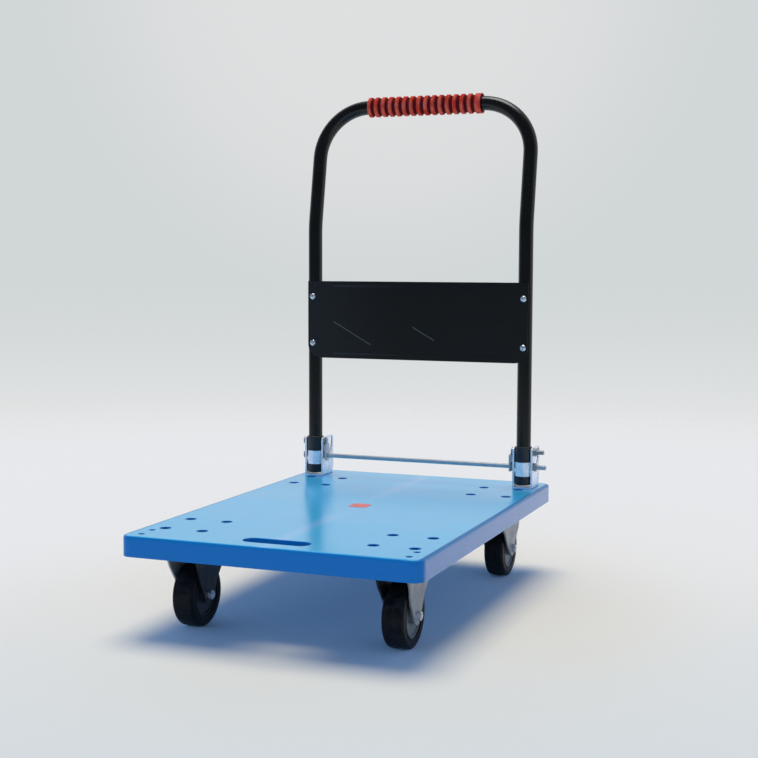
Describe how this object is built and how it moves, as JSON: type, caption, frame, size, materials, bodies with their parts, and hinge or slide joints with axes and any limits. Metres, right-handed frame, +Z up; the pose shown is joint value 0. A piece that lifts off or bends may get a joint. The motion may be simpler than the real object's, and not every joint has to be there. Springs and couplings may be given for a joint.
{
  "type": "folding platform cart",
  "caption": "Hand platform cart: flat moulded deck on rigid front and swivel rear casters, with a tubular push handle that folds down over the deck.",
  "frame": {"origin": "on the floor, under the middle of the cart", "axes": "+X to the cart's right seen from the front, +Y from the front edge to the handle, +Z up; wheels stand on Z = 0"},
  "size_m": [0.488, 0.72, 0.8744],
  "materials": {
    "deck_plastic": "satin blue moulded plastic",
    "tube_paint": "black powder coat, fine grain",
    "panel_plastic": "black, fine moulded grain",
    "grip_rubber": "brick red, ribbed, matte",
    "black_plastic": "black, satin",
    "bracket_zinc": "zinc plated, bright",
    "fork_zinc": "zinc plated pressed steel",
    "race_steel": "zinc plated",
    "bush_steel": "turned, bright",
    "spring_steel": "bare spring wire",
    "rod_steel": "bright drawn bar",
    "rod_plate_plastic": "black",
    "bright_fastener": "zinc plated, bright",
    "dark_fastener": "zinc plated, dull",
    "tyre_rubber": "black, matte",
    "hub_plastic": "grey moulded plastic"
  },
  "bodies": {
    "deck_frame": {"deck": "deck_plastic", "caster_bolts": "bright_fastener", "caster_nuts": "bright_fastener", "bracket_screws": "dark_fastener", "bracket_nuts": "dark_fastener", "left_hinge_bracket": "bracket_zinc", "right_hinge_bracket": "bracket_zinc", "left_pivot_bolt": "dark_fastener", "right_pivot_bolt": "dark_fastener", "pivot_nuts": "dark_fastener", "front_left_fork": "fork_zinc", "front_left_bush": "bush_steel", "front_left_axle_bolt": "bright_fastener", "front_left_axle_nut": "bright_fastener", "front_right_fork": "fork_zinc", "front_right_bush": "bush_steel", "front_right_axle_bolt": "bright_fastener", "front_right_axle_nut": "bright_fastener", "rear_left_top_plate": "fork_zinc", "rear_left_ball_race": "race_steel", "rear_left_kingpin": "bright_fastener", "rear_right_top_plate": "fork_zinc", "rear_right_ball_race": "race_steel", "rear_right_kingpin": "bright_fastener"},
    "handle": {"handle_tube": "tube_paint", "hand_grip": "grip_rubber", "back_panel": "panel_plastic", "panel_screws": "bright_fastener", "left_pivot_collar": "black_plastic", "right_pivot_collar": "black_plastic", "left_slot_sleeve": "bracket_zinc", "right_slot_sleeve": "bracket_zinc", "left_end_plug": "black_plastic", "right_end_plug": "black_plastic", "left_lock_spring": "spring_steel", "right_lock_spring": "spring_steel"},
    "release_bar": {"release_rod": "rod_steel", "rod_nuts": "dark_fastener", "left_rod_plate": "rod_plate_plastic", "right_rod_plate": "rod_plate_plastic"},
    "front_left_wheel": {"front_left_tyre": "tyre_rubber", "front_left_hub": "hub_plastic"},
    "front_right_wheel": {"front_right_tyre": "tyre_rubber", "front_right_hub": "hub_plastic"},
    "rear_left_swivel": {"rear_left_fork": "fork_zinc", "rear_left_bush": "bush_steel", "rear_left_axle_bolt": "bright_fastener", "rear_left_axle_nut": "bright_fastener"},
    "rear_left_wheel": {"rear_left_tyre": "tyre_rubber", "rear_left_hub": "hub_plastic"},
    "rear_right_swivel": {"rear_right_fork": "fork_zinc", "rear_right_bush": "bush_steel", "rear_right_axle_bolt": "bright_fastener", "rear_right_axle_nut": "bright_fastener"},
    "rear_right_wheel": {"rear_right_tyre": "tyre_rubber", "rear_right_hub": "hub_plastic"}
  },
  "joints": [
    {"name": "handle_fold", "type": "hinge", "parent": "deck_frame", "child": "handle", "pos_m": [0, 0.29, 0.224], "axis": [1, 0, 0], "range_deg": [0, 90]},
    {"name": "release_press", "type": "slide", "parent": "handle", "child": "release_bar", "axis": [0, 0, -1], "range_m": [0, 0.006], "stiffness_N_per_m": 1000, "springref_m": -0.006, "deforming": ["left_lock_spring", "right_lock_spring"]},
    {"name": "front_left_wheel_spin", "type": "hinge", "parent": "deck_frame", "child": "front_left_wheel", "pos_m": [-0.1715, -0.245, 0.05], "axis": [1, 0, 0], "continuous": true},
    {"name": "front_right_wheel_spin", "type": "hinge", "parent": "deck_frame", "child": "front_right_wheel", "pos_m": [0.1715, -0.245, 0.05], "axis": [1, 0, 0], "continuous": true},
    {"name": "rear_left_swivel_turn", "type": "hinge", "parent": "deck_frame", "child": "rear_left_swivel", "pos_m": [-0.1715, 0.225, 0.115], "axis": [0, 0, 1], "continuous": true},
    {"name": "rear_left_wheel_spin", "type": "hinge", "parent": "rear_left_swivel", "child": "rear_left_wheel", "pos_m": [-0.1715, 0.267, 0.05], "axis": [1, 0, 0], "continuous": true},
    {"name": "rear_right_swivel_turn", "type": "hinge", "parent": "deck_frame", "child": "rear_right_swivel", "pos_m": [0.1715, 0.225, 0.115], "axis": [0, 0, 1], "continuous": true},
    {"name": "rear_right_wheel_spin", "type": "hinge", "parent": "rear_right_swivel", "child": "rear_right_wheel", "pos_m": [0.1715, 0.267, 0.05], "axis": [1, 0, 0], "continuous": true}
  ]
}
